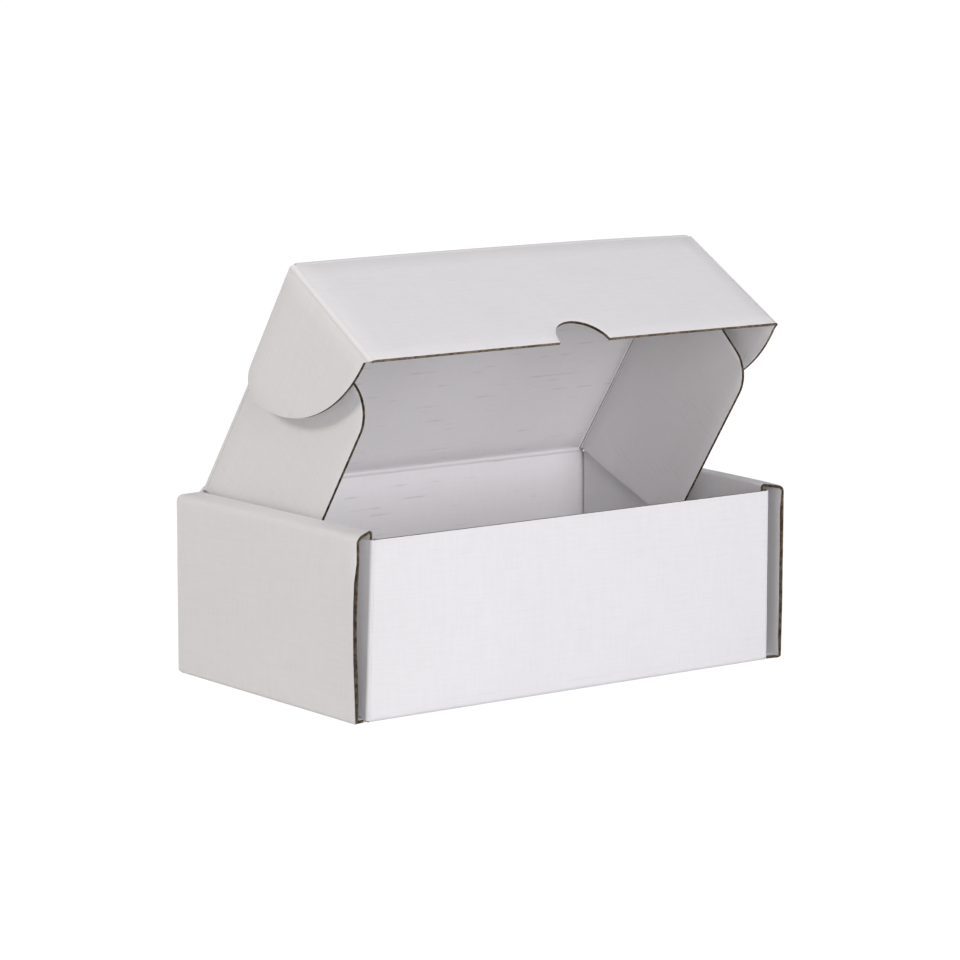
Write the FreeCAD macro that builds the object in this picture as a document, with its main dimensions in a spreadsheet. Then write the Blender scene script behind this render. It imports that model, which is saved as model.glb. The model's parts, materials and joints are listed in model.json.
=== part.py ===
import FreeCAD, Part
import math
import os

# A corrugated mailer box with its lid half open, in millimetres.
# The origin is the centre of the base's underside, with +Z up and the front wall at -Y.
# One die-cut sheet makes the whole box. It is divided only at the creases that stay in use.

Vector = FreeCAD.Vector
Rotation = FreeCAD.Rotation
Placement = FreeCAD.Placement
X_AXIS = Vector(1, 0, 0)
Y_AXIS = Vector(0, 1, 0)

SIZES = [
    ("box_width", 250.0, "across the outer side panels"),
    ("box_depth", 144.5, "raw front edge to raw back edge of a side panel"),
    ("board", 1.5, "thickness of the corrugated board"),
    ("liner", 0.25, "thickness of each facing paper"),
    ("medium", 0.2, "thickness of the fluted paper between them"),
    ("flute_pitch", 3.3, "from one flute to the next"),
    ("bend_radius", 2.25, "outer radius of a folded crease"),
    ("front_height", 81.5, "front wall and corner flaps"),
    ("front_inset", 1.0, "front wall behind the side panels' raw edges"),
    ("back_inset", 2.5, "back wall in front of the side panels' raw edges"),
    ("roll_height", 85.0, "top of the rolled side wall at its inner crease"),
    ("shoulder_height", 83.5, "top of the rolled side wall at its outer crease"),
    ("shoulder_radius", 3.5, "outer radius of the roll's outer crease"),
    ("lock_gap", 6.6, "slot for an ear, side panel to corner flap"),
    ("slip", 0.15, "between boards that slide on each other"),
    ("corner_flap_length", 58.0, "corner flap, back from the wall that carries it"),
    ("tab_width", 24.0, "lock tab under the inner side panel"),
    ("tab_place", 36.0, "lock tab's middle, from the middle of the box"),
    ("slot_play", 0.2, "lock tab to its slot, all round"),
    ("hinge_height", 85.75, "lid crease, at the middle of the board"),
    ("crease_half_gap", 0.4, "from a crease to the crushed end of the board"),
    ("crease_run", 1.4, "length over which the board is crushed"),
    ("crease_tip", 0.5, "thickness of the crushed end"),
    ("mitre_gap", 0.15, "half the gap in a mitred crease"),
    ("corner_cut", 3.5, "cut off where the lid, the front flap and an ear meet"),
    ("lid_angle", 54.5, "lid above its closed place, in degrees"),
    ("flap_fold", 86.0, "front flap down from the lid's plane, in degrees"),
    ("flap_clearance", 0.25, "closed front flap to the front wall"),
    ("front_flap_length", 73.4, "lid crease to the front flap's free edge"),
    ("thumb_radius", 15.5, "half-round notch in the free edge"),
    ("ear_clearance", 0.25, "ear to the corner flap beside it"),
    ("ear_radius", 69.5, "ear's arc, about the lid crease"),
    ("ear_top_gap", 2.6, "lid crease to the ear's straight edge"),
    ("ear_corner", 5.0, "radius of the ear's lower corner"),
    ("ear_foot", 9.0, "flare beside the crease that brings the arc to the free edge"),
    ("dust_clearance", 0.4, "dust flap to the inner side panel"),
    ("dust_depth", 79.0, "dust flap, down from the lid, at its back corner"),
    ("dust_slope", 1.5, "how much less it is at the front corner"),
    ("dust_start", 3.0, "root of the dust flap, from the lid crease"),
    ("dust_end_gap", 11.75, "other end of the root, from the front flap's crease"),
    ("dust_back_taper", 21.0, "how far the back edge runs in over the depth"),
    ("dust_front_taper", 7.0, "how far the front edge runs in over the depth"),
    ("dust_front_corner", 15.0, "radius of the dust flap's front corner"),
    ("dust_back_corner", 5.0, "radius of the dust flap's back corner"),
]

doc = FreeCAD.newDocument("mailer_box")
sheet = doc.addObject("Spreadsheet::Sheet", "sizes")
for row, (alias, number, meaning) in enumerate(SIZES, start=1):
    sheet.set("A%d" % row, meaning)
    sheet.set("B%d" % row, str(number))
    sheet.setAlias("B%d" % row, alias)
doc.recompute()


def size(alias):
    return float(sheet.get(alias))


# Places worked out from the driving sizes
board = size("board")
half_board = board / 2
side_middle = size("box_width") / 2 - half_board
corner_face = size("box_width") / 2 - board - size("lock_gap")
corner_middle = corner_face - half_board
inner_middle = corner_face - board - size("slip") - half_board
inner_face = inner_middle - half_board
bend_middle = size("bend_radius") - half_board
base_half = corner_face - size("bend_radius")
raw_edge = size("box_depth") / 2
front_face = -(raw_edge - size("front_inset"))
back_face = raw_edge - size("back_inset")
front_middle = front_face + half_board
back_middle = back_face - half_board
inner_front = front_face + board + size("slip")
inner_back = back_face - board - size("slip")
floor_gap = size("slip")
lid_length = back_middle - front_face + size("flap_clearance") + half_board
dust_end = lid_length - size("dust_end_gap")
dust_face = inner_face - size("dust_clearance")
dust_pivot = dust_face - board
ear_middle = corner_face + size("ear_clearance") + half_board
crease_gap = size("crease_half_gap")
crush_end = crease_gap + size("crease_run")
margin = 5.0  # how far a cutting outline runs past the board


def new_body(name):
    body = doc.addObject("PartDesign::Body", name)
    body.Label = name
    body.AllowCompound = True
    return body


def new_sketch(body, role, name, offset="0 mm"):
    plane = next(item for item in body.Origin.OriginFeatures if item.Role == role)
    sketch = body.newObject("Sketcher::SketchObject", name)
    sketch.AttachmentSupport = (plane, [""])
    sketch.MapMode = "FlatFace"
    sketch.setExpression("AttachmentOffset.Base.z", offset)
    return sketch


def point(pair):
    return Vector(pair[0], pair[1], 0)


def draw_polygon(sketch, corners):
    for start, end in zip(corners, corners[1:] + corners[:1]):
        sketch.addGeometry(Part.LineSegment(point(start), point(end)), False)


def draw_strip(sketch, route, radii, crushed_end=False):
    """Draw the edge-on outline of a folded board along the middle of its thickness."""
    points = [point(pair) for pair in route]
    first_ends = []
    last_ends = []
    for side in (1, -1):
        heading = (points[1] - points[0]).normalize()
        last = points[0] + Vector(-heading.y, heading.x, 0) * (side * half_board)
        first_ends.append(last)
        for corner, following, radius in zip(points[1:-1], points[2:], radii):
            turned = (following - corner).normalize()
            left = Vector(-heading.y, heading.x, 0)
            turn = heading.getAngle(turned)
            sense = 1 if heading.cross(turned).z > 0 else -1
            reach = radius * math.tan(turn / 2)
            centre = corner - heading * reach + left * (sense * radius)
            arc_radius = radius - side * sense * half_board
            start = centre - left * (sense * arc_radius)
            left_after = Vector(-turned.y, turned.x, 0)
            end = centre - left_after * (sense * arc_radius)
            middle = centre + (corner - centre).normalize() * arc_radius
            sketch.addGeometry(Part.LineSegment(last, start), False)
            sketch.addGeometry(Part.Arc(start, middle, end), False)
            last = end
            heading = turned
        across = Vector(-heading.y, heading.x, 0) * side
        finish = points[-1] + across * half_board
        if crushed_end:
            shoulder = finish - heading * size("crease_run")
            sketch.addGeometry(Part.LineSegment(last, shoulder), False)
            last = shoulder
            finish = points[-1] + across * (size("crease_tip") / 2)
        sketch.addGeometry(Part.LineSegment(last, finish), False)
        last_ends.append(finish)
    sketch.addGeometry(Part.LineSegment(*first_ends), False)
    sketch.addGeometry(Part.LineSegment(*last_ends), False)


def add_pad(body, sketch, name, length, midplane=False):
    pad = body.newObject("PartDesign::Pad", name)
    pad.Profile = sketch
    pad.Midplane = midplane
    pad.setExpression("Length", length)
    doc.recompute()
    return pad


def add_pocket(body, sketch, name, length, midplane=False, reverse=True):
    before = body.Shape.Volume
    pocket = body.newObject("PartDesign::Pocket", name)
    pocket.Profile = sketch
    pocket.Midplane = midplane
    pocket.Reversed = reverse
    pocket.setExpression("Length", length)
    doc.recompute()
    if body.Shape.Volume >= before:
        raise RuntimeError(name + " cuts nothing")
    return pocket


def add_fillet(body, name, radius, place):
    """Round the upright corner of a flat flap that passes nearest to a place in its plane."""
    base = body.Tip
    corner = point(place)

    def distance(index):
        edge = base.Shape.Edges[index]
        if abs(edge.BoundBox.ZLength - board) > board / 10:
            return math.inf
        return (Vector(edge.CenterOfMass.x, edge.CenterOfMass.y, 0) - corner).Length

    nearest = min(range(len(base.Shape.Edges)), key=distance)
    fillet = body.newObject("PartDesign::Fillet", name)
    fillet.Base = (base, ["Edge%d" % (nearest + 1)])
    fillet.setExpression("Radius", radius)
    doc.recompute()


def mirrored(corners):
    return [(-across, along) for across, along in corners]


# Tray: base, walls, rolled side walls and corner flaps, one folded solid
tray = new_body("tray")

side_route = [
    (-inner_middle, board + floor_gap),
    (-inner_middle, size("roll_height") - half_board),
    (-side_middle, size("shoulder_height") - half_board),
    (-side_middle, half_board),
    (-base_half, half_board),
]
side_radii = [bend_middle, size("shoulder_radius") - half_board, bend_middle]
sides = new_sketch(tray, "XZ_Plane", "side_walls_section")
draw_strip(sides, side_route, side_radii)
draw_strip(sides, mirrored(side_route), side_radii)
add_pad(tray, sides, "side_walls", "sizes.box_depth", midplane=True)

# The roll's ends slant from the side panel's raw edge to the inner panel's shorter one.
roll_ends = new_sketch(tray, "XY_Plane", "roll_ends_plan", "sizes.board + sizes.slip / 2")
for raw, inner in ((-raw_edge, inner_front), (raw_edge, inner_back)):
    beyond = raw + math.copysign(margin, raw)
    roll_end = [
        (side_middle - half_board, raw),
        (inner_middle + half_board, inner),
        (inner_face - margin, inner),
        (inner_face - margin, beyond),
        (side_middle - half_board, beyond),
    ]
    draw_polygon(roll_ends, roll_end)
    draw_polygon(roll_ends, mirrored(roll_end))
add_pocket(tray, roll_ends, "roll_ends", "sizes.roll_height")

base_ends = new_sketch(tray, "XY_Plane", "base_ends_plan")
bend_start = size("box_width") / 2 - size("bend_radius")
for raw, wall in ((-raw_edge, front_face), (raw_edge, back_face)):
    beyond = raw + math.copysign(margin, raw)
    base_end = [
        (bend_start, wall),
        (base_half - margin, wall),
        (base_half - margin, beyond),
        (bend_start, beyond),
    ]
    draw_polygon(base_ends, base_end)
    draw_polygon(base_ends, mirrored(base_end))
add_pocket(tray, base_ends, "base_ends", "sizes.board + sizes.slip / 2")

base_route = [
    (front_middle, size("front_height")),
    (front_middle, half_board),
    (back_middle, half_board),
    (back_middle, size("hinge_height") - crease_gap),
]
base = new_sketch(tray, "YZ_Plane", "base_section")
draw_strip(base, base_route, [bend_middle, bend_middle], crushed_end=True)
base_width = "sizes.box_width - 2 * (sizes.board + sizes.lock_gap + sizes.bend_radius)"
add_pad(tray, base, "base_and_walls", base_width, midplane=True)

walls = new_sketch(tray, "XY_Plane", "corner_flaps_plan", "sizes.bend_radius")
for wall, inwards in ((front_face, 1), (back_face, -1)):
    middle = wall + inwards * half_board
    tip = wall + inwards * size("corner_flap_length")
    route = [(-corner_middle, tip), (-corner_middle, middle), (corner_middle, middle), (corner_middle, tip)]
    draw_strip(walls, route, [bend_middle, bend_middle])
add_pad(tray, walls, "corner_flaps", "sizes.front_height - sizes.bend_radius")

tab_places = [(side, place) for side in (-1, 1) for place in (-size("tab_place"), size("tab_place"))]


def draw_tabs(sketch, play):
    across = half_board + play
    along = size("tab_width") / 2 + play
    for side, place in tab_places:
        middle = side * inner_middle
        draw_polygon(sketch, [
            (middle - across, place - along),
            (middle + across, place - along),
            (middle + across, place + along),
            (middle - across, place + along),
        ])


slots = new_sketch(tray, "XY_Plane", "tab_slots_plan")
draw_tabs(slots, size("slot_play"))
add_pocket(tray, slots, "tab_slots", "sizes.board + sizes.slip / 2")
tabs = new_sketch(tray, "XY_Plane", "lock_tabs_plan", "sizes.slip")
draw_tabs(tabs, 0.0)
add_pad(tray, tabs, "lock_tabs", "sizes.board + sizes.slip")


# Lid and flaps: each is drawn flat in its own frame, then turned into its place
def crush_wedges(sketch, crease, inwards):
    """Two wedges that thin a board towards a crease, drawn edge-on."""
    tip = size("crease_tip") / 2
    for face in (1, -1):
        draw_polygon(sketch, [
            (crease, face * tip),
            (crease + inwards * crease_gap, face * tip),
            (crease + inwards * crush_end, face * half_board),
            (crease + inwards * crush_end, face * board),
            (crease, face * board),
        ])


def cut_flutes(body, start, length, first, last):
    """Open the flutes, which run along local X, between two places along local Y.

    Each flute is two three-sided holes, one under each liner, half a pitch apart.
    """
    pitch = size("flute_pitch")
    core = half_board - size("liner")
    web = size("medium")
    count = int((last - first - pitch / 2) / pitch)
    middle = first + pitch / 2
    section = new_sketch(body, "YZ_Plane", "flute_section", start)
    draw_polygon(section, [
        (middle - pitch / 2 + web, -core),
        (middle + pitch / 2 - web, -core),
        (middle, core - web),
    ])
    draw_polygon(section, [
        (middle + web, core),
        (middle + pitch - web, core),
        (middle + pitch / 2, web - core),
    ])
    flute = add_pocket(body, section, "flute", length)
    row = body.newObject("PartDesign::LinearPattern", "flutes")
    row.Originals = [flute]
    row.Direction = (section, ["H_Axis"])
    row.Occurrences = count
    row.setExpression("Length", "sizes.flute_pitch * %d" % (count - 1))
    body.Tip = row
    doc.recompute()


def draw_mitre(sketch, pivot, along, across):
    """What a mitred, rounded board end leaves out, beside a crease at its inner face."""
    gap = size("mitre_gap") * math.sqrt(2)
    leg = board * math.sqrt(0.5)
    eighth = math.radians(22.5)

    def place(forward, outward):
        return (pivot[0] + along * forward, pivot[1] + across * outward)

    start = place(-gap, 0)
    corner = place(leg - gap / 2, leg + gap / 2)
    middle = place(board * math.sin(eighth), board * math.cos(eighth))
    top = place(0, board)
    outside = [place(0, board + margin), place(board + margin, board + margin),
               place(board + margin, -margin), place(-gap, -margin)]
    sketch.addGeometry(Part.LineSegment(point(start), point(corner)), False)
    sketch.addGeometry(Part.Arc(point(corner), point(middle), point(top)), False)
    corners = [top] + outside + [start]
    for begin, end in zip(corners, corners[1:]):
        sketch.addGeometry(Part.LineSegment(point(begin), point(end)), False)


# Lid: local Y runs from the hinge crease to the front flap's crease, local Z into the box
lid_place = Placement(
    Vector(0, back_middle, size("hinge_height")),
    Rotation(X_AXIS, 180 - size("lid_angle")),
)
DUST_ROOT = (
    "sizes.box_depth - sizes.front_inset - sizes.back_inset + sizes.flap_clearance"
    " - sizes.dust_end_gap - sizes.dust_start"
)
lid = new_body("lid")
lid_plan = new_sketch(lid, "XY_Plane", "lid_plan")
lid_side = [
    (dust_pivot, crease_gap),
    (dust_pivot, size("dust_start")),
    (dust_face, size("dust_start")),
    (dust_face, dust_end),
    (ear_middle, dust_end + ear_middle - dust_face),
    (ear_middle, lid_length - size("corner_cut")),
    (ear_middle - size("corner_cut"), lid_length - crease_gap),
]
draw_polygon(lid_plan, lid_side + mirrored(lid_side)[::-1])
add_pad(lid, lid_plan, "lid_panel", "sizes.board", midplane=True)
lid_creases = new_sketch(lid, "YZ_Plane", "lid_creases_section")
crush_wedges(lid_creases, 0, 1)
crush_wedges(lid_creases, lid_length, -1)
add_pocket(lid, lid_creases, "lid_creases", "sizes.box_width", midplane=True)
lid_mitres = new_sketch(lid, "XZ_Plane", "lid_mitres_section", "-sizes.dust_start")
for side in (1, -1):
    draw_mitre(lid_mitres, (side * dust_pivot, half_board), side, -1)
add_pocket(lid, lid_mitres, "lid_mitres", DUST_ROOT, reverse=False)
lid.Placement = lid_place

# A flap's local X runs away from its crease, once it is folded square to its panel.
FOLDED = Rotation(Y_AXIS, -90)


def make_dust_flap(name, side):
    """Local X runs down into the box, local Y along the lid."""
    body = new_body(name)
    start = size("dust_start") + 2 * size("mitre_gap")
    end = dust_end - 2 * size("mitre_gap")
    back_corner = (size("dust_depth"), start + size("dust_back_taper"))
    front_corner = (size("dust_depth") - size("dust_slope"), end - size("dust_front_taper"))
    plan = new_sketch(body, "XY_Plane", "flap_plan")
    draw_polygon(plan, [(-board, start), (0, start), back_corner, front_corner, (0, end), (-board, end)])
    add_pad(body, plan, "flap", "sizes.board", midplane=True)
    add_fillet(body, "back_corner", "sizes.dust_back_corner", back_corner)
    add_fillet(body, "front_corner", "sizes.dust_front_corner", front_corner)
    mitre = new_sketch(body, "XZ_Plane", "mitre_section")
    draw_mitre(mitre, (0, side * half_board), -1, -side)
    add_pocket(body, mitre, "mitre", "4 * sizes.box_depth", midplane=True)
    cut_flutes(body, "2 * sizes.board", "sizes.dust_depth", start, end)
    crease = Placement(Vector(side * (dust_pivot + half_board), 0, half_board), FOLDED)
    body.Placement = lid_place.multiply(crease)


make_dust_flap("right_dust_flap", 1)
make_dust_flap("left_dust_flap", -1)

# Front flap: local Y runs from the lid's far crease to the free edge.
# Its flutes end where the board is crushed beside the ears' creases.
EAR_MIDDLE = "sizes.box_width / 2 - sizes.lock_gap + sizes.ear_clearance - sizes.board / 2"
FLUTE_END = "(" + EAR_MIDDLE + " - sizes.crease_half_gap - sizes.crease_run)"
flap_place = lid_place.multiply(Placement(Vector(0, lid_length, 0), Rotation(X_AXIS, size("flap_fold"))))
front_flap = new_body("front_flap")
flap_plan = new_sketch(front_flap, "XY_Plane", "flap_plan")
flap_end = size("front_flap_length")
flap_side = [
    (ear_middle - size("corner_cut"), crease_gap),
    (ear_middle - crease_gap, size("corner_cut")),
    (ear_middle - crease_gap, flap_end),
]
draw_polygon(flap_plan, flap_side + mirrored(flap_side)[::-1])
add_pad(front_flap, flap_plan, "flap", "sizes.board", midplane=True)
lid_crease = new_sketch(front_flap, "YZ_Plane", "lid_crease_section")
crush_wedges(lid_crease, 0, 1)
add_pocket(front_flap, lid_crease, "lid_crease", "sizes.box_width", midplane=True)
ear_creases = new_sketch(front_flap, "XZ_Plane", "ear_creases_section")
crush_wedges(ear_creases, ear_middle, -1)
crush_wedges(ear_creases, -ear_middle, 1)
add_pocket(front_flap, ear_creases, "ear_creases", "4 * sizes.front_flap_length", midplane=True)
cut_flutes(front_flap, "-" + FLUTE_END, "2 * " + FLUTE_END, crush_end, flap_end)
notch_plan = new_sketch(front_flap, "XY_Plane", "thumb_notch_plan", "-sizes.board")
notch_plan.addGeometry(Part.Circle(Vector(0, flap_end, 0), Vector(0, 0, 1), size("thumb_radius")), False)
add_pocket(front_flap, notch_plan, "thumb_notch", "2 * sizes.board")
front_flap.Placement = flap_place


def make_ear(name, side):
    """Local X runs back along the box's side, local Y along the front flap."""
    body = new_body(name)
    radius = size("ear_radius")
    top = size("ear_top_gap")
    corner = (math.sqrt(radius ** 2 - top ** 2), top)
    foot = (size("ear_foot"), math.sqrt(radius ** 2 - size("ear_foot") ** 2))
    bulge = (radius * math.sqrt(0.5), radius * math.sqrt(0.5))
    plan = new_sketch(body, "XY_Plane", "ear_plan")
    plan.addGeometry(Part.LineSegment(point((crease_gap, top)), point(corner)), False)
    plan.addGeometry(Part.Arc(point(corner), point(bulge), point(foot)), False)
    plan.addGeometry(Part.LineSegment(point(foot), point((crease_gap, flap_end))), False)
    plan.addGeometry(Part.LineSegment(point((crease_gap, flap_end)), point((crease_gap, top))), False)
    add_pad(body, plan, "ear", "sizes.board", midplane=True)
    add_fillet(body, "ear_corner", "sizes.ear_corner", corner)
    crease = new_sketch(body, "XZ_Plane", "crease_section")
    crush_wedges(crease, 0, 1)
    add_pocket(body, crease, "crease", "4 * sizes.ear_radius", midplane=True)
    cut_flutes(body, "2 * sizes.board", "sizes.ear_radius", top, flap_end)
    body.Placement = flap_place.multiply(Placement(Vector(side * ear_middle, 0, 0), FOLDED))


make_ear("right_ear", 1)
make_ear("left_ear", -1)

# Check every object, then write each piece
doc.recompute()
for item in doc.Objects:
    if "Invalid" in item.State or "Error" in item.State:
        raise RuntimeError("%s: %s" % (item.Label, item.State))
os.makedirs("parts", exist_ok=True)
for item in doc.Objects:
    if item.TypeId != "PartDesign::Body":
        continue
    shape = item.Shape
    if shape.isNull() or not shape.isValid() or len(shape.Solids) != 1:
        raise RuntimeError("%s is not one valid solid" % item.Label)
    shape.exportStep("parts/%s.step" % item.Label)
    print("%-16s %9.1f mm3" % (item.Label, shape.Volume))
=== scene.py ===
import json
import math

import bpy
from mathutils import Matrix, Vector, noise


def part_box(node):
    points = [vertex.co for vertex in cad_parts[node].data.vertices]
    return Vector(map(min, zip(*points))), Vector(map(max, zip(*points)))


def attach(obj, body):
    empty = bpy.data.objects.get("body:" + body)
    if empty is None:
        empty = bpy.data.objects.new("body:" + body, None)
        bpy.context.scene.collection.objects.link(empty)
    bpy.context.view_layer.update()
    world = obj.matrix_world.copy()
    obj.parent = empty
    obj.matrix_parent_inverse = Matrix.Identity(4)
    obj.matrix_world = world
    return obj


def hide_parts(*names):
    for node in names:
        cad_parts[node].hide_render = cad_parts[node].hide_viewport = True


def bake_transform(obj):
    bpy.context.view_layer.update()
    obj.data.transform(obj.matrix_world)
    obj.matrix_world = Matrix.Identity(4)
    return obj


# A white corrugated mailer box, lid half open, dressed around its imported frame. Metres throughout.
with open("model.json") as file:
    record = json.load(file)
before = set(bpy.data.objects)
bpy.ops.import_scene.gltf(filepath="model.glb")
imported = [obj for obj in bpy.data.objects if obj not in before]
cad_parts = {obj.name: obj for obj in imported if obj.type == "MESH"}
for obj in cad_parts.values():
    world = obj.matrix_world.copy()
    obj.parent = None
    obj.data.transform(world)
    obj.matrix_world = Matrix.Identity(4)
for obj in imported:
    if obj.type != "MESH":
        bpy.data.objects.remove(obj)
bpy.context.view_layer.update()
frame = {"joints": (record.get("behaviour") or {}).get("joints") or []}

# Board
BOARD = 0.0015  # thickness
HALF = BOARD / 2
LINER = 0.00025  # each facing paper
MEDIUM = 0.0002  # the fluted paper between them
PITCH = 0.0033  # from one flute to the next
SOFT_EDGE = 0.00012  # how far a cut edge is rounded
SEAM = 0.0028  # from a crease to the flat board beside it
CELL = 0.009  # spacing of the grid that lets a panel bow
BEND = 0.00225  # outer radius of a folded crease
RIM = 0.0004  # how near a seam the rounded rim beside it reaches
SMOOTH_ANGLE = math.radians(35)  # edges sharper than this stay crisp

# Tray, taken from the frame and from the sizes of the real sheet
tray_low, tray_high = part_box("tray")
OUTER = tray_high.x
LOCK_GAP = 0.0066  # the upright slot between an outer side panel and a corner flap
SLIP = 0.00015  # between two boards that lie against each other
FRONT_INSET = 0.001  # the front wall stands this far behind the side walls' raw ends
BACK_INSET = 0.0025
FRONT_HEIGHT = 0.0821
CORNER_FLAP = 0.058
ROLL_TOP = 0.0862
SHOULDER_TOP = 0.0847
SHOULDER_RADIUS = 0.0035
SIDE_FOOT_RADIUS = 0.0011
INNER_ROLL_RADIUS = 0.0010
TAB_WIDTH = 0.024
TAB_PLACE = 0.036  # on either side of the middle
SLOT_PLAY = 0.0002  # round a tab in its slot
WING_INSET = 0.0025  # the base's raw ends under the upright slots, behind the walls
FOOT = BEND + 0.0006  # from a wall's face to where its foot meets the flat base
FRONT_FOLD = 0.0016  # outer radius where the front wall turns into its corner flaps
BACK_FOLD = 0.0038  # and the looser fold at the back wall's ends
BACK_CORNER_DROP = 0.0012  # from the hinge down to the top of the back corner flaps

side_middle = OUTER - HALF
corner_face = OUTER - BOARD - LOCK_GAP
corner_middle = corner_face - HALF
inner_middle = corner_face - BOARD - SLIP - HALF
front_face = tray_low.y + FRONT_INSET
back_face = tray_high.y - BACK_INSET
inner_front = front_face + BOARD + SLIP
inner_back = back_face - BOARD - SLIP
side_hinge = corner_face + 0.0011  # where the base ends and each side's foot begins

# Lid and flaps: their creases are the frame's joints
joints = {joint["name"]: joint for joint in frame["joints"]}
hinge = Vector(joints["lid_hinge"]["pos_m"])
far_crease = Vector(joints["front_flap_fold"]["pos_m"])
flap_axis = Vector(joints["right_ear_fold"]["axis"])
lid_axis = far_crease - hinge
lid_length = lid_axis.length
lid_turn = math.pi - math.atan2(lid_axis.z, -lid_axis.y)
flap_fold = lid_axis.angle(flap_axis)
ear_crease = joints["right_ear_fold"]["pos_m"][0]
dust_crease = joints["right_dust_flap_fold"]["pos_m"][0]
FLAP_LENGTH = 0.0734
THUMB_RADIUS = 0.0143
THUMB_PLACE = 0.0010  # to the right of the middle
EAR_RADIUS = {"left": 0.0697, "right": 0.0726}
EAR_FLARE = {"left": (0.0026, 0.068), "right": (0.0030, 0.040)}  # how far it stands out, over what length
EAR_TOP = 0.0012  # from the far crease to an ear's straight edge
EAR_CORNER = 0.0115  # radius of its round tip
EAR_FOOT = 0.0035  # from its crease to the end of its arc
CORNER_CUT = 0.0035  # off the lid's and the front flap's corners at the far crease
DUST_START = 0.0026  # from the hinge to a dust flap's two ends
DUST_END = 0.1288
DUST_DEPTH = 0.079
DUST_SLOPE = 0.0015  # how much less deep it is at its front
DUST_BACK_TAPER = 0.021
DUST_FRONT_TAPER = 0.0078
DUST_FRONT_CORNER = 0.015  # radii of its corners
DUST_BACK_CORNER = 0.005

# Soft creases: from the crease to the flat board, and the radius of the board's middle
DUST_SEAM = 0.0024
DUST_RADIUS = 0.0021
EAR_SEAM = 0.0016
EAR_CREASE_RADIUS = 0.0012
HINGE_RADIUS = 0.0022
FAR_RADIUS = 0.0023
HINGE_BEAD = 0.0006
HINGE_END = 0.1143  # where the hinge crease stops, between the dust flaps
DUST_CREASE_START = 0.0012
dust_corner = dust_crease + HALF  # where the middles of the lid and a dust flap would meet
lid_corner = ear_crease - 0.002  # the lid's raw sides stand back behind the ears
lid_corner_end = lid_corner - 0.0007

# How the real box stands a little out of square
FOLD_LEAN = 0.0022  # the front wall's left fold, inwards at its top
FOLD_SPREAD = 0.0034  # how much further out it is at its foot
FOLD_REACH = 0.016  # how far back the corner flap follows it
FLAP_END_DRAW = {"left": 0.0, "right": 0.0038}  # ends of the lid's far crease, inwards
FLAP_DRAW_LOST = 0.65  # share of it that is gone at the front flap's free edge
FLAP_END_DROP = {"left": 0.0006, "right": 0.0010}  # and downwards
DUST_DRAW = {"left": (0.0015, 7.0), "right": (0.0037, 2.8)}  # a dust flap, inwards, and how soon in its depth
DRAW_REACH = 0.11  # from the box's middle to where all of it is reached
# A side wall's front end inwards at its top and foot, its roll's front and back ends upwards, and
# the middle of its raw front edge backwards
SIDE_LEAN = {
    "left": (0.0014, 0.0, 0.0, 0.0, 0.0016),
    "right": (0.0, 0.0006, -0.0010, 0.0018, 0.0),
}

SIDES = {"left": -1, "right": 1}
folded = Matrix.Rotation(-math.pi / 2, 4, "Y")
lid_place = Matrix.Translation(hinge) @ Matrix.Rotation(lid_turn, 4, "X")
flap_place = lid_place @ Matrix.Translation((0, lid_length, 0)) @ Matrix.Rotation(flap_fold, 4, "X")


# Finishes
def add_node(tree, kind, inputs, **settings):
    node = tree.nodes.new(kind)
    for name, value in settings.items():
        setattr(node, name, value)
    for name, value in inputs.items():
        if isinstance(value, bpy.types.NodeSocket):
            tree.links.new(value, node.inputs[name])
        else:
            node.inputs[name].default_value = value
    return node


def math_node(tree, operation, first, second=0.0, third=0.0):
    inputs = {0: first, 1: second, 2: third}
    return add_node(tree, "ShaderNodeMath", inputs, operation=operation).outputs[0]


def between(tree, value, low, high):
    """A smooth step from 0 to 1 as a value goes from one level to another."""
    inputs = {"Value": value, "From Min": low, "From Max": high}
    return add_node(tree, "ShaderNodeMapRange", inputs, interpolation_type="SMOOTHSTEP").outputs["Result"]


def noise_node(tree, place, scale, detail, roughness=0.5):
    inputs = {"Vector": place, "Scale": scale, "Detail": detail, "Roughness": roughness}
    return add_node(tree, "ShaderNodeTexNoise", inputs).outputs["Fac"]


def scaled(tree, value, factor):
    return math_node(tree, "MULTIPLY", value, factor)


def new_finish(name, roughness):
    finish = bpy.data.materials.new(name)
    finish.use_nodes = True
    tree = finish.node_tree
    shader = tree.nodes["Principled BSDF"]
    shader.inputs["Roughness"].default_value = roughness
    shader.inputs["Specular IOR Level"].default_value = 0.3
    return finish, tree, shader


def tint(tree, share, first, second):
    """A colour that runs from the first to the second as the share goes from 0 to 1."""
    node = tree.nodes.new("ShaderNodeMix")
    node.data_type = "RGBA"
    tree.links.new(share, node.inputs[0])
    for socket, colour in ((node.inputs[6], first), (node.inputs[7], second)):
        if isinstance(colour, bpy.types.NodeSocket):
            tree.links.new(colour, socket)
        else:
            socket.default_value = (*colour, 1)
    return node.outputs[2]


DASH_GREY = (0.36, 0.35, 0.36)


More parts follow.
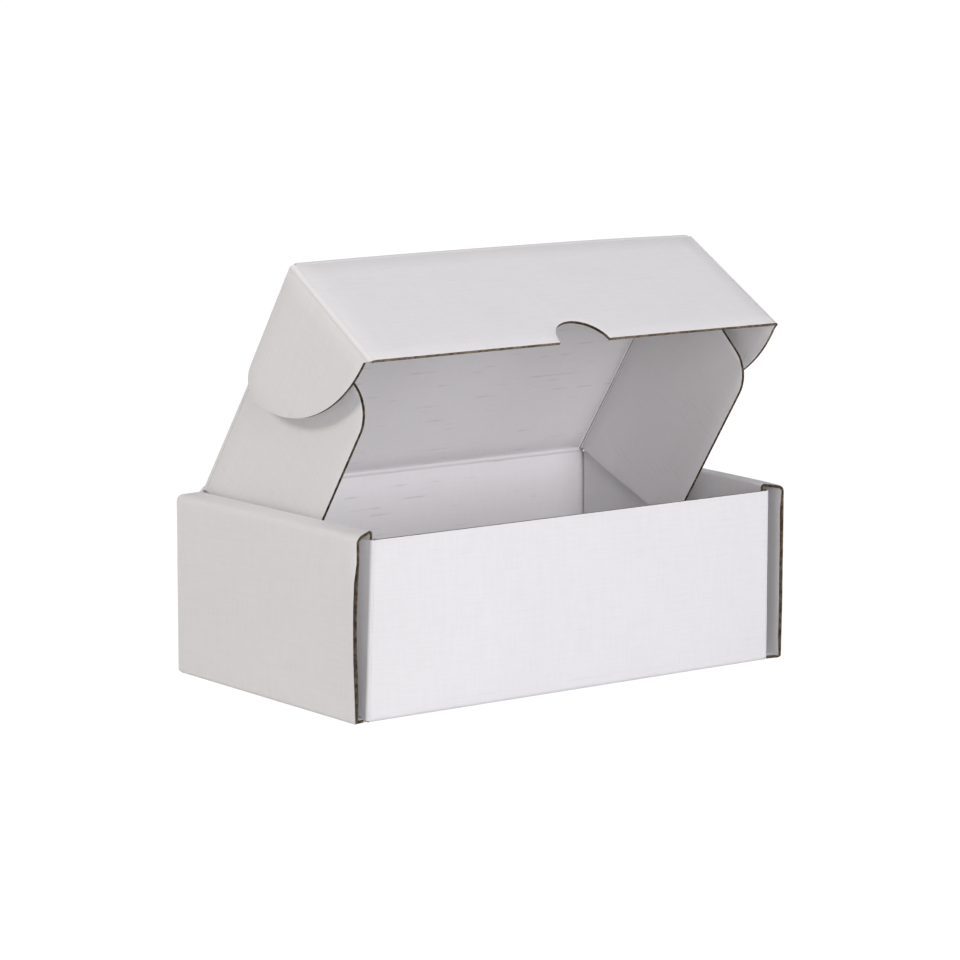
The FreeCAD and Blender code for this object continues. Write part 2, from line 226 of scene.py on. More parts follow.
def liner_finish(name, turn, colour, shade, dash_strength):
    """White paper over flutes that run along local X and Z, once the pattern is turned about X."""
    finish, tree, shader = new_finish(name, 0.62)
    place = add_node(tree, "ShaderNodeTexCoord", {}).outputs["Object"]
    local = add_node(tree, "ShaderNodeMapping", {"Vector": place, "Rotation": (turn, 0, 0)}).outputs["Vector"]
    axes = add_node(tree, "ShaderNodeSeparateXYZ", {"Vector": local})
    along = math_node(tree, "ADD", axes.outputs["X"], axes.outputs["Z"])
    row = math_node(tree, "DIVIDE", axes.outputs["Y"], PITCH)
    whole_row = math_node(tree, "FLOOR", row)
    in_row = math_node(tree, "FRACT", row)
    off_middle = math_node(tree, "ABSOLUTE", math_node(tree, "SUBTRACT", in_row, 0.5))

    # Short grey dashes, where the paper dips between two flutes
    dash_place = add_node(tree, "ShaderNodeCombineXYZ", {
        "X": scaled(tree, along, 42.0),
        "Y": scaled(tree, whole_row, 7.3),
        "Z": 0.0,
    }).outputs["Vector"]
    dash_run = between(tree, noise_node(tree, dash_place, 1.0, 2.0), 0.56, 0.68)
    dash_line = between(tree, off_middle, 0.17, 0.04)
    dash = scaled(tree, scaled(tree, dash_run, dash_line), dash_strength)

    # A faint weave and cloudiness in the white
    weave = []
    for stretch in ((70.0, 900.0, 70.0), (900.0, 70.0, 900.0)):
        stretched = add_node(tree, "ShaderNodeMapping", {"Vector": local, "Scale": stretch}).outputs["Vector"]
        weave.append(between(tree, noise_node(tree, stretched, 1.0, 2.0), 0.35, 0.65))
    linen = scaled(tree, math_node(tree, "ADD", *weave), 0.5)
    cloud = noise_node(tree, place, 24.0, 3.0)
    speckle = math_node(tree, "ADD", scaled(tree, linen, 0.5), scaled(tree, cloud, 0.5))
    paper = tint(tree, speckle, shade, colour)
    tree.links.new(tint(tree, dash, paper, DASH_GREY), shader.inputs["Base Color"])

    # Relief: the flutes' washboard, the paper's fibres and the dashes
    washboard = math_node(tree, "COSINE", scaled(tree, row, math.tau))
    fibre = noise_node(tree, place, 2600.0, 2.0)
    relief = math_node(tree, "ADD", scaled(tree, washboard, 0.10), scaled(tree, fibre, 0.25))
    relief = math_node(tree, "SUBTRACT", relief, dash)
    bump = add_node(tree, "ShaderNodeBump", {"Height": relief, "Strength": 0.25, "Distance": 0.0001})
    tree.links.new(bump.outputs["Normal"], shader.inputs["Normal"])
    return finish


def kraft_finish(name, dark, light):
    """Raw brown paper, as a cut edge shows it, and in darker brown and grey colours the painted shade of
    flute holes and creases.
    """
    finish, tree, shader = new_finish(name, 0.85)
    place = add_node(tree, "ShaderNodeTexCoord", {}).outputs["Object"]
    torn = noise_node(tree, place, 420.0, 4.0, 0.65)
    share = between(tree, torn, 0.36, 0.66)
    tree.links.new(tint(tree, share, dark, light), shader.inputs["Base Color"])
    bump = add_node(tree, "ShaderNodeBump", {"Height": torn, "Strength": 0.5, "Distance": 0.0002})
    tree.links.new(bump.outputs["Normal"], shader.inputs["Normal"])
    return finish


# The white paper outside and inside, each with its colour and its shade
OUTSIDE = ((0.82, 0.812, 0.82), (0.765, 0.757, 0.765))
INSIDE = ((0.885, 0.872, 0.877), (0.84, 0.827, 0.832))
OUTSIDE_DASHES = 0.05
# For each way that a panel lies, the turn that levels its pattern and the strength of its dashes inside
WAYS = {
    "level": (0.0, 0.26),
    "upright": (math.pi / 2, 0.26),
    "lid": (-lid_turn, 0.26),
    "dust": (-lid_turn, 0.10),
    "flap": (-(lid_turn + flap_fold), 0.2),
}
outside = {}
inside = {}
for way, (turn, _) in WAYS.items():
    outside[way] = liner_finish("outer_liner_" + way, turn, *OUTSIDE, OUTSIDE_DASHES)
for way, (turn, dashes) in WAYS.items():
    inside[way] = liner_finish("inner_liner_" + way, turn, *INSIDE, dashes)
kraft = kraft_finish("kraft_edge", (0.070, 0.050, 0.032), (0.24, 0.185, 0.125))
# The fluted paper's brown, painted darker: painted shade in the flute holes and the recesses of cut edges
flute_paper_painted_shade = kraft_finish("kraft_flutes", (0.028, 0.020, 0.013), (0.11, 0.083, 0.055))
# Grey for a thin line of painted shade along the dust flaps' creases
fold_line = kraft_finish("fold_line", (0.25, 0.24, 0.245), (0.42, 0.41, 0.415))
OUT, IN, CUT, FLUTE_SHADED, CREASE_SHADE = range(5)


def give_finishes(piece, way):
    for finish in (outside[way], inside[way], kraft, flute_paper_painted_shade, fold_line):
        piece.data.materials.append(finish)


# Modelling by hand
def clamp(value):
    return min(max(value, 0), 1)


def make_active(piece):
    bpy.ops.object.select_all(action="DESELECT")
    piece.select_set(True)
    bpy.context.view_layer.objects.active = piece


def rename(piece, name):
    piece.name = name
    piece.data.name = name
    return piece


def pick(piece, kind, test):
    """Go into edit mode with just the edges or faces that pass a test selected."""
    make_active(piece)
    bpy.ops.object.mode_set(mode="EDIT")
    bpy.ops.mesh.select_mode(type=kind)
    bpy.ops.mesh.select_all(action="DESELECT")
    bpy.ops.object.mode_set(mode="OBJECT")
    for item in {"EDGE": piece.data.edges, "FACE": piece.data.polygons}[kind]:
        item.select = bool(test(item))
    bpy.ops.object.mode_set(mode="EDIT")


def leave():
    bpy.ops.object.mode_set(mode="OBJECT")


def apply_modifier(piece, kind, **settings):
    make_active(piece)
    modifier = piece.modifiers.new(kind.lower(), kind)
    for name, value in settings.items():
        setattr(modifier, name, value)
    bpy.ops.object.modifier_apply(modifier=modifier.name)


def cut_grid(piece, axis, low, high):
    """Cut a piece across at even steps along one axis, so that it can bow."""
    make_active(piece)
    bpy.ops.object.mode_set(mode="EDIT")
    count = max(1, round((high - low) / CELL))
    for step in range(1, count):
        bpy.ops.mesh.select_all(action="SELECT")
        middle = Vector(axis) * (low + (high - low) * step / count)
        bpy.ops.mesh.bisect(plane_co=middle, plane_no=axis)
    leave()


def rounded(corners):
    """An outline through corners given as x, y and the radius that each is rounded to."""
    outline = []
    count = len(corners)
    for index, (x, y, radius) in enumerate(corners):
        corner = Vector((x, y))
        if not radius:
            outline.append(corner)
            continue
        before = (Vector(corners[index - 1][:2]) - corner).normalized()
        after = (Vector(corners[(index + 1) % count][:2]) - corner).normalized()
        half_angle = before.angle(after) / 2
        centre = corner + (before + after).normalized() * (radius / math.sin(half_angle))
        first = (corner + before * (radius / math.tan(half_angle)) - centre).normalized()
        last = (corner + after * (radius / math.tan(half_angle)) - centre).normalized()
        steps = 10
        for step in range(steps + 1):
            outline.append(centre + first.slerp(last, step / steps).normalized() * radius)
    return outline


def flute_cutter(first, last, start, end):
    """Prisms with the shape of the air between liner and medium, side by side across the flutes."""
    bpy.ops.object.select_all(action="DESELECT")
    bpy.ops.mesh.primitive_cylinder_add(vertices=16, radius=1.0, depth=end - start,
                                        rotation=(0, math.pi / 2, 0),
                                        location=((start + end) / 2, first + PITCH / 2, 0))
    cutter = rename(bpy.context.object, "flute_cutter")
    bpy.ops.object.transform_apply()
    core = HALF - LINER
    swing = core - MEDIUM / 2
    reach = PITCH * 0.42  # half an air space is a little narrower than half a flute
    for vertex in cutter.data.vertices:
        across = (vertex.co.y - first - PITCH / 2) * reach
        wall = MEDIUM / 2 - swing * math.cos(math.tau * across / PITCH)
        upper = vertex.co.z > 1e-6
        vertex.co.y = first + PITCH / 2 + across
        vertex.co.z = core if upper else min(wall, core - SOFT_EDGE / 4)
    count = int((last - first - PITCH / 2) / PITCH)
    apply_modifier(cutter, "ARRAY", count=count, use_relative_offset=False, use_constant_offset=True,
                   constant_offset_displace=(0, PITCH, 0))
    make_active(cutter)
    bpy.ops.object.mode_set(mode="EDIT")
    bpy.ops.mesh.select_all(action="SELECT")
    bpy.ops.mesh.duplicate()
    bpy.ops.transform.resize(value=(1, 1, -1), center_override=(0, 0, 0))
    bpy.ops.transform.translate(value=(0, PITCH / 2, 0))
    bpy.ops.mesh.select_all(action="SELECT")
    bpy.ops.mesh.normals_make_consistent(inside=False)
    leave()
    cut_grid(cutter, (1, 0, 0), start, end)
    return cutter


def draw_in(piece, way):
    """Pull the lid's flaps in a little from square, as they stand on the real box."""
    if way not in ("lid", "flap"):
        return
    to_local = (lid_place if way == "lid" else flap_place).inverted()
    for vertex in piece.data.vertices:
        local = to_local @ vertex.co
        word = "right" if local.x > 0 else "left"
        aside = min(abs(local.x) / DRAW_REACH, 1)
        if way == "flap":
            share = 1 - FLAP_DRAW_LOST * clamp(local.y / FLAP_LENGTH)
            inward = FLAP_END_DRAW[word] * share
        else:
            share = clamp((local.y - DUST_END) / (lid_length - DUST_END - CORNER_CUT))
            most, pace = DUST_DRAW[word]
            deep = max(local.z, 0) / DUST_DEPTH
            inward = most * (1 - math.exp(-pace * deep)) + FLAP_END_DRAW[word] * share
        vertex.co.x -= math.copysign(inward, local.x) * aside
        vertex.co.z -= FLAP_END_DROP[word] * share * aside ** 3


def flat_panel(name, outline, way, inner_side, seam, flutes=None, bow=None):
    """A flat panel of board in its own plane, with local X along the flutes.

    Its rounded rims are brown, but white where the seam test finds another panel beside them.
    """
    bpy.ops.object.select_all(action="DESELECT")
    bpy.ops.mesh.primitive_circle_add(vertices=len(outline), radius=1.0, fill_type="NGON")
    piece = rename(bpy.context.object, name)
    for vertex, corner in zip(piece.data.vertices, outline):
        vertex.co = (corner[0], corner[1], -HALF)
    pick(piece, "FACE", lambda face: True)
    bpy.ops.mesh.extrude_region_move(TRANSFORM_OT_translate={"value": (0, 0, BOARD)})
    bpy.ops.mesh.select_all(action="SELECT")
    bpy.ops.mesh.normals_make_consistent(inside=False)
    leave()
    broad_faces = [face for face in piece.data.polygons if abs(face.normal.z) > 0.9]
    rims = {tuple(sorted(key)) for face in broad_faces for key in face.edge_keys}
    pick(piece, "EDGE", lambda edge: tuple(sorted(edge.vertices)) in rims)
    bpy.ops.mesh.bevel(offset=SOFT_EDGE, segments=2, affect="EDGES")
    leave()
    xs = [corner[0] for corner in outline]
    ys = [corner[1] for corner in outline]
    cut_grid(piece, (1, 0, 0), min(xs), max(xs))
    cut_grid(piece, (0, 1, 0), min(ys), max(ys))
    give_finishes(piece, way)
    for face in piece.data.polygons:
        side = face.normal.z * inner_side
        soft = 0.3 if seam(face.center) else 0.9
        if abs(side) < soft:
            face.material_index = CUT
        else:
            face.material_index = IN if side > 0 else OUT
    if flutes:
        cutter = flute_cutter(*flutes)
        for finish in piece.data.materials:
            cutter.data.materials.append(finish)
        # The holes' faces take the darker brown: painted shade inside the flutes
        for face in cutter.data.polygons:
            face.material_index = FLUTE_SHADED
        apply_modifier(piece, "BOOLEAN", operation="DIFFERENCE", object=cutter, solver="EXACT")
        bpy.data.objects.remove(cutter)
    if bow:
        for vertex in piece.data.vertices:
            vertex.co.z += bow(vertex.co.x)
    return piece


def lay(piece, place, body, *nodes, way=""):
    """Put a finished piece in its place and let it move with its body."""
    piece.data.transform(place)
    draw_in(piece, way)
    make_active(piece)
    bpy.ops.object.shade_smooth_by_angle(angle=SMOOTH_ANGLE)
    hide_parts(*nodes)
    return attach(piece, body)


def section_points(route, radii):
    """The middle line of a folded board, seen edge-on, with its creases rounded."""
    line = rounded([(*point, radius) for point, radius in zip(route, [0, *radii, 0])])
    full = [line[0]]
    for point in line[1:]:
        gap = (point - full[-1]).length
        parts = max(1, round(gap / CELL))
        start = full[-1]
        full += [start.lerp(point, part / parts) for part in range(1, parts + 1)]
    return full


def even_points(line, steps):
    """The same line, in equal steps."""
    lengths = [0.0]
    for start, end in zip(line, line[1:]):
        lengths.append(lengths[-1] + (end - start).length)
    even = []
    for step in range(steps + 1):
        wanted = lengths[-1] * step / steps
        index = max(place for place in range(len(line) - 1) if lengths[place] <= wanted + 1e-9)
        share = (wanted - lengths[index]) / (lengths[index + 1] - lengths[index])
        even.append(line[index].lerp(line[index + 1], min(share, 1.0)))
    return even


def folded_sheet(name, section, length, to_place, way, core):
    """A folded board: a grid laid along its section, facing away from a core, then given its thickness."""
    rows = max(2, round(length / CELL) + 1)
    bpy.ops.object.select_all(action="DESELECT")
    bpy.ops.mesh.primitive_grid_add(x_subdivisions=len(section) - 1, y_subdivisions=rows - 1, size=2)
    piece = rename(bpy.context.object, name)
    for vertex in piece.data.vertices:
        column = round((vertex.co.x + 1) / 2 * (len(section) - 1))
        run = column / (len(section) - 1)
        vertex.co = to_place(section[column], run, (vertex.co.y + 1) / 2)
    facing = sum((face.center - Vector(core)).dot(face.normal) for face in piece.data.polygons)
    if facing < 0:
        pick(piece, "FACE", lambda face: True)
        bpy.ops.mesh.flip_normals()
        leave()
    give_finishes(piece, way)
    apply_modifier(piece, "SOLIDIFY", thickness=BOARD, offset=0.0, use_even_offset=True, use_rim=True,
                   material_offset=IN, material_offset_rim=CUT)
    return piece


def groove_cut_edges(piece, depth, test):
    """Between the liners of an edge cut along the flutes, the flute paper lies a little back, in a darker
    brown that is painted shade in the recess.
    """
    pick(piece, "FACE", lambda face: face.material_index == CUT and test(face))
    bpy.ops.mesh.inset(thickness=LINER, depth=-depth, use_even_offset=True)
    leave()
    for face in piece.data.polygons:
        if face.select:
            face.material_index = FLUTE_SHADED


def whiten(piece, test):
    """A cut edge that is one only in the model, not in the sheet, takes the white of the paper."""
    for face in piece.data.polygons:
        if face.material_index == CUT and test(face):
            face.material_index = OUT


def wander(along, seed, depth):
    """The small drift of a sheared edge or a relaxed panel."""
    return noise.noise(Vector((along * 38.0, seed, 0.0))) * depth


# Tray
def base_panel():
    """The base between the side walls, with a slot for each lock tab."""
    hinge_line = corner_face - BEND
    outline = []
    for face, inward in ((front_face, 1), (back_face, -1)):
        raw = face + inward * WING_INSET
        bend = face + inward * FOOT
        half = [(side_hinge, raw, 0), (hinge_line, raw, 0), (hinge_line, bend, 0)]
        row = half + [(-x, y, radius) for x, y, radius in reversed(half)]
        outline += row if inward < 0 else row[::-1]
    piece = flat_panel("base", rounded(outline), "level", 1, lambda point: True)
    beside_hinge = hinge_line - 0.0005
    whiten(piece, lambda edge: abs(edge.center.x) > beside_hinge)
    for side in SIDES.values():
        for place in (-TAB_PLACE, TAB_PLACE):
            bpy.ops.object.select_all(action="DESELECT")
            bpy.ops.mesh.primitive_cube_add(size=1, location=(side * inner_middle, place, 0))
            slot = rename(bpy.context.object, "slot_cutter")
            slot.scale = (BOARD + 2 * SLOT_PLAY, TAB_WIDTH + 2 * SLOT_PLAY, 3 * BOARD)
            bpy.ops.object.transform_apply()
            for finish in piece.data.materials:
                slot.data.materials.append(finish)
            for face in slot.data.polygons:
                face.material_index = CUT
            apply_modifier(piece, "BOOLEAN", operation="DIFFERENCE", object=slot, solver="EXACT")
            bpy.data.objects.remove(slot)
    return lay(piece, Matrix.Translation((0, 0, HALF)), "tray", "tray")


def flap_lean(side, y, z):
    """How far the front wall's left fold stands in from square. It spreads out towards its foot."""
    if side > 0:
        return 0.0
    near = max(1 - (y - front_face) / FOLD_REACH, 0)
    return near * (FOLD_LEAN - FOLD_SPREAD * (1 - clamp(z / FRONT_HEIGHT)))


def wall(name, face, inward, top, fold):
    """The front or back wall between its corner flaps, with the fold at its foot."""
    middle = face + inward * HALF
    foot = face + inward * FOOT
    section = section_points([(foot, HALF), (middle, HALF), (middle, top)], [BEND - HALF])
    half_width = corner_face - fold
    most_bulge = 0.0004

    def place(point, run, share):
        rise = max(point.y - BEND, 0) / (top - BEND)
        bulge = most_bulge * math.sin(math.pi * share) ** 0.8 * math.sin(math.pi * rise * 0.8)
        x = half_width * (2 * share - 1)
        if x < 0:
            x += flap_lean(-1, point.x, point.y) * min(-x / half_width, 1)
        return Vector((x, point.x - inward * bulge, point.y))

    piece = folded_sheet(name, section, 2 * half_width, place, "upright", (0, 0, FRONT_HEIGHT / 2))
    whiten(piece, lambda edge: abs(edge.normal.x) > 0.7)
    groove_cut_edges(piece, depth=0.0003, test=lambda edge: edge.normal.z > 0.9)
    return lay(piece, Matrix.Identity(4), "tray", "tray")


def corner_flap(name, side, face, inward, top, fold):
    """A flap folded back from the end of a wall, inside the side wall's slot."""
    middle = face + inward * HALF
    far_end = face + inward * CORNER_FLAP
    route = [(corner_face - fold, middle), (corner_middle, middle), (corner_middle, far_end)]
    section = section_points(route, [fold - HALF])
    foot_gap = 0.0008
    foot_rise = 0.0045  # how far behind the wall the flap's foot leaves the base
    top_run = 0.006  # and its top comes to its own height

    def place(point, run, share):
        behind = abs(point.y - face)
        low = min(behind / foot_rise, 1) ** 2 * BEND + foot_gap
        high = top + (FRONT_HEIGHT - top) * min(behind / top_run, 1)
        z = low + (high - low) * share
        return Vector((side * (point.x - flap_lean(side, point.y, z)), point.y, z))

    piece = folded_sheet(name, section, FRONT_HEIGHT - BEND, place, "upright", (0, 0, FRONT_HEIGHT / 2))
    whiten(piece, lambda edge: abs(edge.normal.x) > 0.7)
    groove_cut_edges(piece, depth=0.0003, test=lambda edge: edge.normal.z > 0.9)
    return lay(piece, Matrix.Identity(4), "tray", "tray")


def side_wall(word, side):
    """Outer panel, roll and inner panel of one side, from the base round to the lock tabs."""
    route = [
        (side_hinge, HALF),
        (side_middle, HALF),
        (side_middle, SHOULDER_TOP - HALF),
        (inner_middle, ROLL_TOP - HALF),
        (inner_middle, BOARD + SLIP),
    ]
    section = section_points(route, [SIDE_FOOT_RADIUS, SHOULDER_RADIUS - HALF, INNER_ROLL_RADIUS])
    front_top, front_foot, front_lift, back_lift, raw_back = SIDE_LEAN[word]
    front_room = 0.0012  # the inner panel is a little shorter than its room
    back_room = 0.0015
    roll_inset = 0.00015  # and the outer one's back end stays inside the solid's
    foot_inset = 0.0001
    waist = 0.45  # shares of the height: where the front end stands true
    roll_foot = 0.8  # and where the roll begins to spring up

    def place(point, run, share):
        across = clamp((point.x - inner_middle - HALF) / (side_middle - inner_middle - BOARD))
        front = inner_front + front_room * (1 - across) + (tray_low.y - inner_front) * across
        back = inner_back - back_room * (1 - across) + (tray_high.y - roll_inset - inner_back) * across
        turned = min(max(point.x - (OUTER - BEND), 0) / (BEND - HALF), 1)
        if point.y < BEND:
            front = front_face + WING_INSET
            front += (tray_low.y - front) * turned
            back = back_face - WING_INSET
            back += (tray_high.y - foot_inset - back) * turned
        height = point.y / ROLL_TOP
        near_front = (1 - share) ** 2
        upper = (max(height - waist, 0) / (1 - waist)) ** 2 * front_top * across
        lower = (max(waist - height, 0) / waist) ** 2 * front_foot * turned
        relaxed = abs(wander(point.y, share * 9, depth=0.0002)) * turned
        spring = front_lift * near_front + back_lift * share
        lift = max(height - roll_foot, 0) / (1 - roll_foot) * spring
        front += raw_back * math.sin(math.pi * clamp(height)) * turned
        y = front + (back - front) * (0.5 - 0.5 * math.cos(math.pi * share))
        tucked = max(flap_lean(side, y, point.y), 0) * 0.6 * (1 - across)
        x = point.x - (upper + lower) * near_front - relaxed - tucked
        return Vector((side * x, y, point.y + lift))

    core = (side * (inner_middle + side_middle) / 2, 0, ROLL_TOP / 2)
    piece = folded_sheet(word + "_side_wall", section, tray_high.y - tray_low.y, place, "level", core)
    # The shears have spread the outer panel's raw ends a little, on their inner side
    spread = 0.0007
    spread_top = SHOULDER_TOP - 0.004
    front_end = tray_low.y + 0.003
    back_end = tray_high.y - 0.001
    for vertex in piece.data.vertices:
        x, y, z = vertex.co
        inner = side_middle - 2 * BOARD < abs(x) < side_middle
        at_end = y > back_end or y < front_end
        if inner and at_end and BEND < z < spread_top:
            vertex.co.x -= side * (spread + wander(z, 5.0 + side, depth=0.0006))
    groove_cut_edges(piece, depth=0.0004, test=lambda edge: abs(edge.normal.y) > 0.5)
    return lay(piece, Matrix.Identity(4), "tray", "tray")


def lock_tab(name, side, place):
    """One tab of the inner panel, down through its slot in the base."""
    bpy.ops.object.select_all(action="DESELECT")
    height = BOARD + SLIP
    middle = (side * inner_middle, place, SLIP + height / 2)
    bpy.ops.mesh.primitive_cube_add(size=1, location=middle)
    piece = rename(bpy.context.object, name)
    piece.scale = (BOARD, TAB_WIDTH, height)
    bpy.ops.object.transform_apply()
    give_finishes(piece, "level")
    for face in piece.data.polygons:
        face.material_index = OUT if abs(face.normal.x) > 0.9 else CUT
    pick(piece, "EDGE", lambda edge: True)
    bpy.ops.mesh.bevel(offset=SOFT_EDGE, segments=2, affect="EDGES")
    leave()
    groove_cut_edges(piece, depth=0.0002, test=lambda edge: edge.normal.z < -0.9)
    return lay(piece, Matrix.Identity(4), "tray", "tray")


# Lid and flaps
def lid_panel():
    edge = dust_corner - DUST_SEAM
    step = dust_crease + BOARD
    front = DUST_END + ear_crease - step
    half = [(edge, SEAM, 0), (edge, DUST_END, 0), (step, DUST_END, 0), (lid_corner, front, 0.001),
            (lid_corner, lid_length - CORNER_CUT, 0.001), (lid_corner_end, lid_length - SEAM, 0)]
    outline = rounded(half + [(-x, y, radius) for x, y, radius in reversed(half)])
    piece = flat_panel("lid_board", outline, "lid", 1, lambda point: True)
    return lay(piece, lid_place, "lid", "lid", way="lid")


def dust_flap(name, side):
    corners = [
        (DUST_SEAM - HALF, DUST_START, 0),
        (DUST_DEPTH, DUST_START + DUST_BACK_TAPER, DUST_BACK_CORNER),
        (DUST_DEPTH - DUST_SLOPE, DUST_END - DUST_FRONT_TAPER, DUST_FRONT_CORNER),
        (DUST_SEAM - HALF, DUST_END, 0),
    ]
    flutes = (DUST_START, DUST_END, 2 * BOARD, DUST_DEPTH + BOARD)

    def seam(point):
        return point.x < DUST_SEAM

    piece = flat_panel(name + "_board", rounded(corners), "dust", side, seam, flutes)
    place = lid_place @ Matrix.Translation((side * dust_corner, 0, HALF)) @ folded
    return lay(piece, place, name, name, way="lid")


def front_flap():
    edge = ear_crease - EAR_SEAM
    notch = []
    notch_steps = 28
    for step in range(notch_steps + 1):
        angle = math.pi * step / notch_steps
        across = THUMB_PLACE + THUMB_RADIUS * math.cos(angle)
        notch.append((across, FLAP_LENGTH - THUMB_RADIUS * math.sin(angle), 0))
    corners = [(-edge, SEAM, 0), (edge, SEAM, 0), (edge, FLAP_LENGTH, 0), *notch, (-edge, FLAP_LENGTH, 0)]
    flutes = (SEAM, FLAP_LENGTH, -edge + BOARD, edge - BOARD)

    def seam(point):
        return point.y < SEAM + RIM or abs(point.x) > edge - RIM / 2

    piece = flat_panel("front_flap_board", rounded(corners), "flap", 1, seam, flutes)
    return lay(piece, flap_place, "front_flap", "front_flap", way="flap")


def ear(word, side):
    """An ear: a quarter round with a small round tip. It stands out from the dust flap beside it."""
    name = word + "_ear"
    radius = EAR_RADIUS[word]
    flare, reach = EAR_FLARE[word]
    fillet_x = math.sqrt((radius - EAR_CORNER) ** 2 - (EAR_TOP + EAR_CORNER) ** 2)
    centre = Vector((fillet_x, EAR_TOP + EAR_CORNER))
    outline = [Vector((EAR_SEAM, EAR_TOP))]
    first_angle = -math.pi / 2
    last_angle = math.atan2(centre.y, centre.x)
    tip_steps = 8
    for step in range(tip_steps + 1):
        angle = first_angle + (last_angle - first_angle) * step / tip_steps
        outline.append(centre + Vector((math.cos(angle), math.sin(angle))) * EAR_CORNER)
    foot_angle = math.acos(EAR_FOOT / radius)
    arc_steps = 32
    for step in range(1, arc_steps + 1):
        angle = last_angle + (foot_angle - last_angle) * step / arc_steps
        outline.append(Vector((math.cos(angle), math.sin(angle))) * radius)
    outline.append(outline[-1].lerp(Vector((0, FLAP_LENGTH)), 1 - EAR_SEAM / EAR_FOOT))
    flutes = (EAR_TOP, FLAP_LENGTH, EAR_SEAM + BOARD, radius + BOARD)

    def bow(x):
        return -side * flare * min(max(x - EAR_SEAM, 0) / reach, 1)

    def seam(point):
        return point.x < EAR_SEAM + RIM

    piece = flat_panel(name + "_board", outline, "flap", side, seam, flutes, bow)
    place = flap_place @ Matrix.Translation((side * ear_crease, 0, 0)) @ folded
    return lay(piece, place, name, name, way="flap")


CREASE_STEPS = 20
# how far either side of the fold the painted shade line on a dust crease reaches
CREASE_SHADE_WIDTH = 0.0003
BEAD_WIDTH = 0.16  # as a share of the way across the crease


def crease(name, corner, first, second, along, lows, highs, radius, reach, way, core,
           pull="", white=None, bead=0.0):
    """The soft fold between two panels.

    Its two ends are each given at the first panel, at the crease and at the second panel. A bead
    is a ridge on its inner side; the folds beside the dust flaps get a grey line of painted shade.
    """
    first = Vector(first).normalized()
    second = Vector(second).normalized()
    across = (second - first * second.dot(first)).normalized()
    ends = [(reach, 0), (0, 0), (second.dot(first) * reach, second.dot(across) * reach)]
    section = even_points(section_points(ends, [radius]), CREASE_STEPS)
    inward = (first + second).normalized()

    def at_run(levels, run):
        back, middle, ahead = levels
        if run < 0.5:
            return back + (middle - back) * run * 2
        return middle + (ahead - middle) * (run * 2 - 1)

    def place(point, run, share):
        low = at_run(lows, run)
        high = at_run(highs, run)
        ridge = bead * math.exp(-((run - 0.5) / BEAD_WIDTH) ** 2)
        in_section = corner + first * point.x + across * point.y + inward * ridge
        return in_section + along * (low + (high - low) * share)

    low, high = lows[1], highs[1]
    piece = folded_sheet(name, section, high - low, place, way, core)
    draw_in(piece, pull)
    # On the dust creases, a thin strip of the inner faces along the fold is painted grey: painted shade of
    # the crease
    if pull == "lid":
        for face in piece.data.polygons:
            off_line = (face.center - corner).dot(across) - (face.center - corner).dot(first)
            if face.material_index == IN and abs(off_line) < CREASE_SHADE_WIDTH:
                face.material_index = CREASE_SHADE
    if white:
        whiten(piece, lambda edge: white((edge.center - corner).dot(along)))
    make_active(piece)
    bpy.ops.object.shade_smooth_by_angle(angle=SMOOTH_ANGLE)
    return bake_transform(piece)


def crease_pieces():
    x_axis = Vector((1, 0, 0))
    lid_way = lid_axis.normalized()
    into_box = (lid_place.to_3x3() @ Vector((0, 0, 1))).normalized()
    flap_in = (flap_place.to_3x3() @ Vector((0, 0, 1))).normalized()
    inside_box = (0, 0, FRONT_HEIGHT)
    # Each crease ends where the outlines of its two panels do
    ends = (corner_face - BACK_FOLD + 0.0004, HINGE_END, dust_corner - 0.0007)
    crease("lid_crease", hinge, (0, 0, -1), lid_way, x_axis, [-end for end in ends], ends,
           HINGE_RADIUS, SEAM, "upright", inside_box,
           white=lambda along: True, bead=HINGE_BEAD)
    ends = (lid_corner_end, lid_corner - 0.0012, ear_crease - EAR_SEAM)
    crease("front_flap_crease", far_crease, -lid_way, flap_axis, x_axis, [-end for end in ends], ends,
           FAR_RADIUS, SEAM, "flap", inside_box, pull="flap", white=lambda along: True)
    for word, side in SIDES.items():
        outward = x_axis * side
        arc_foot = math.sqrt(EAR_RADIUS[word] ** 2 - EAR_FOOT ** 2)
        foot_end = FLAP_LENGTH + (arc_foot - FLAP_LENGTH) * EAR_SEAM / EAR_FOOT
        starts = (SEAM, EAR_TOP + 0.0006, EAR_TOP)
        crease(word + "_ear_crease", far_crease + outward * ear_crease, -outward, flap_in, flap_axis,
               starts, (FLAP_LENGTH, FLAP_LENGTH, foot_end), EAR_CREASE_RADIUS, EAR_SEAM, "flap", inside_box,
               pull="flap", white=lambda along: along < FLAP_LENGTH / 2)
        starts = (DUST_CREASE_START, DUST_CREASE_START, DUST_START)
        crease(word + "_dust_crease", hinge + outward * dust_corner, -outward, into_box, lid_way,
               starts, [DUST_END] * 3, DUST_RADIUS, DUST_SEAM, "lid", inside_box,
               pull="lid")


base_panel()
wall("front_wall", front_face, 1, FRONT_HEIGHT, FRONT_FOLD)
wall("back_wall", back_face, -1, hinge.z - SEAM, BACK_FOLD)
for word, side in SIDES.items():
    corner_flap(word + "_front_corner_flap", side, front_face, 1, FRONT_HEIGHT, FRONT_FOLD)
    corner_flap(word + "_back_corner_flap", side, back_face, -1, hinge.z - BACK_CORNER_DROP, BACK_FOLD)
    side_wall(word, side)
    for end, place in (("front", -TAB_PLACE), ("back", TAB_PLACE)):
        lock_tab(word + "_" + end + "_lock_tab", side, place)
    dust_flap(word + "_dust_flap", side)
    ear(word, side)
lid_panel()
front_flap()
crease_pieces()


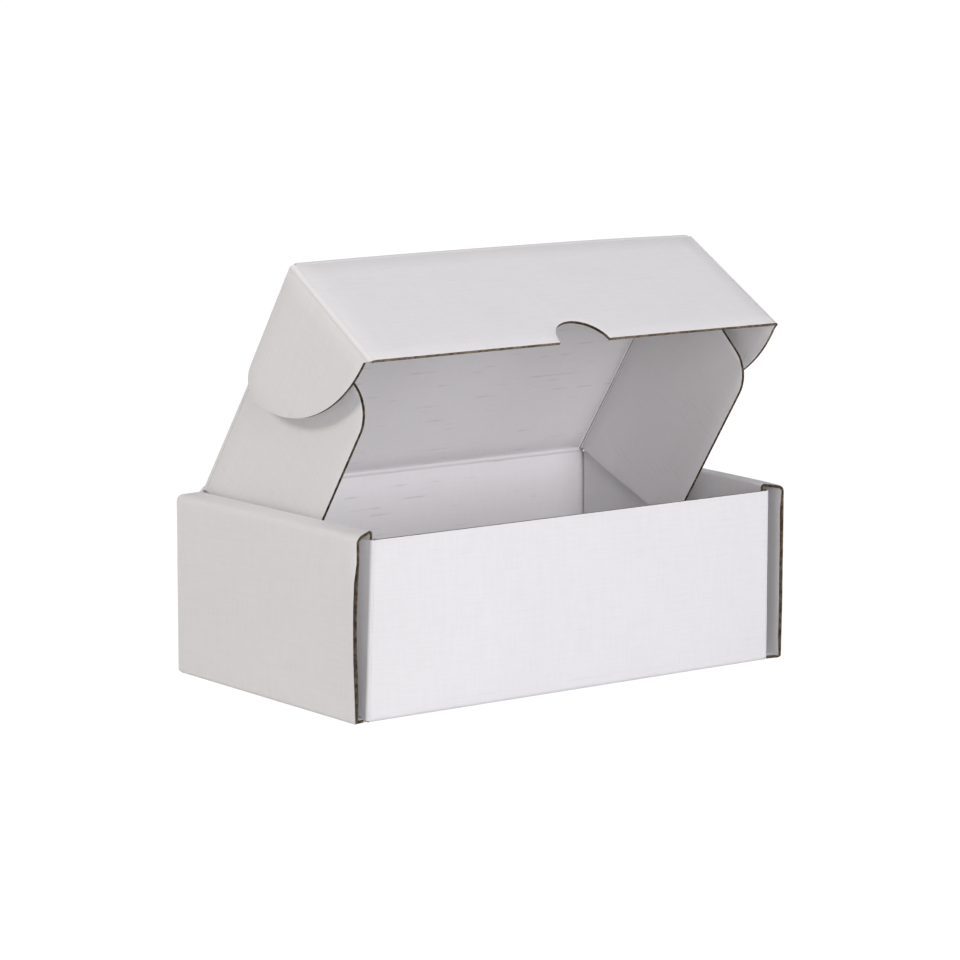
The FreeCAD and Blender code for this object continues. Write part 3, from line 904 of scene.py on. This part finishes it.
# Studio: a pale floor, soft light and the photograph's camera
def studio():
    bpy.ops.object.select_all(action="DESELECT")
    bpy.ops.mesh.primitive_plane_add(size=60, location=(0, 0, 0))
    floor = rename(bpy.context.object, "studio_floor")
    pale, tree, shader = new_finish("studio_white", 0.9)
    shader.inputs["Base Color"].default_value = (0.86, 0.86, 0.86, 1)
    sight = tree.nodes.new("ShaderNodeLightPath").outputs["Is Camera Ray"]
    glow = add_node(tree, "ShaderNodeEmission", {"Color": (1, 1, 1, 1), "Strength": 1.05})
    seen = add_node(tree, "ShaderNodeMixShader", {0: sight, 1: shader.outputs[0], 2: glow.outputs[0]})
    tree.links.new(seen.outputs[0], tree.nodes["Material Output"].inputs["Surface"])
    floor.data.materials.append(pale)

    # The room: even and soft, a little warmer on the left
    world = bpy.data.worlds.new("studio_world")
    bpy.context.scene.world = world
    world.use_nodes = True
    tree = world.node_tree
    toward = tree.nodes.new("ShaderNodeTexCoord").outputs["Generated"]
    sky = add_node(tree, "ShaderNodeSeparateXYZ", {"Vector": toward})
    level = math_node(tree, "MULTIPLY_ADD", sky.outputs["Y"], -0.03, 0.36)
    level = math_node(tree, "MULTIPLY_ADD", sky.outputs["Z"], 0.04, level)
    hue = tint(tree, between(tree, sky.outputs["X"], -0.9, 0.3), (1.0, 0.955, 0.91), (0.985, 0.975, 1.0))
    background = tree.nodes["Background"]
    tree.links.new(hue, background.inputs["Color"])
    tree.links.new(level, background.inputs["Strength"])

    # Name, place, size in metres, power in watts and colour
    softboxes = (
        ("front_softbox", (-0.3, -2.6, 0.75), 1.3, 41, (0.965, 0.955, 1.0)),
        ("side_softbox", (-2.4, 0.4, 1.7), 0.7, 24, (1.0, 0.97, 0.93)),
    )
    box_middle = Vector((0, 0, 0.08))
    for name, place, size, power, colour in softboxes:
        light = bpy.data.lights.new(name, "AREA")
        light.shape = "SQUARE"
        light.size = size
        light.energy = power
        light.color = colour
        lamp = bpy.data.objects.new(name, light)
        lamp.location = place
        lamp.rotation_euler = (box_middle - Vector(place)).to_track_quat("-Z", "Y").to_euler()
        bpy.context.scene.collection.objects.link(lamp)


def photo_camera():
    view = bpy.data.cameras.new("photo_camera")
    view.lens = 150
    view.sensor_width = 36
    view.clip_end = 100
    camera = bpy.data.objects.new("photo_camera", view)
    camera.location = (-1.12138, -1.48775, 0.38532)
    camera.rotation_euler = (math.radians(80.966), math.radians(-0.045), math.radians(-36.957))
    bpy.context.scene.collection.objects.link(camera)
    bpy.context.scene.camera = camera


studio()
photo_camera()
bpy.context.scene.view_settings.view_transform = "Standard"
